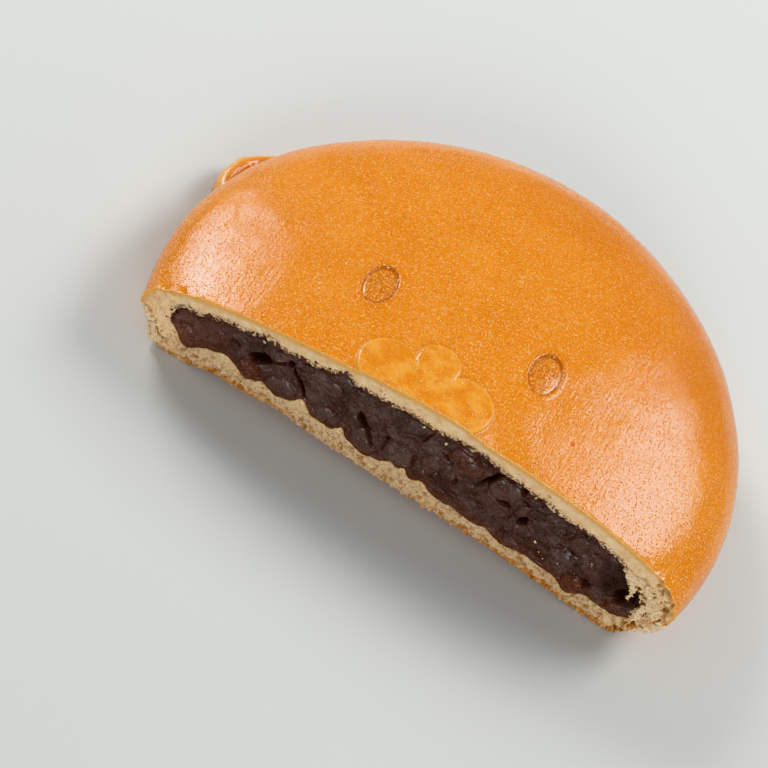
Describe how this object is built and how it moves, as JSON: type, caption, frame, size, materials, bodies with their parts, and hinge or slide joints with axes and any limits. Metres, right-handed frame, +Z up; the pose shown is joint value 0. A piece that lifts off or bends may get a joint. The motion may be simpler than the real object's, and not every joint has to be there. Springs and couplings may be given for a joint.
{
  "type": "red bean bun, halved",
  "caption": "Half of a baked red bean bun, cut to show its dark bean paste, with a simple pressed animal face.",
  "frame": {"origin": "on the flat base, on the upright axis of the whole bun", "axes": "+Z up; +X to the right along the cut, seen from the cut; +Y away from the cut, into the bread"},
  "size_m": [0.1114, 0.0746, 0.0271],
  "materials": {
    "crust": "satin",
    "bean_paste": "satin"
  },
  "bodies": {
    "root": {"bread": "crust", "bean_filling": "bean_paste"}
  },
  "joints": []
}
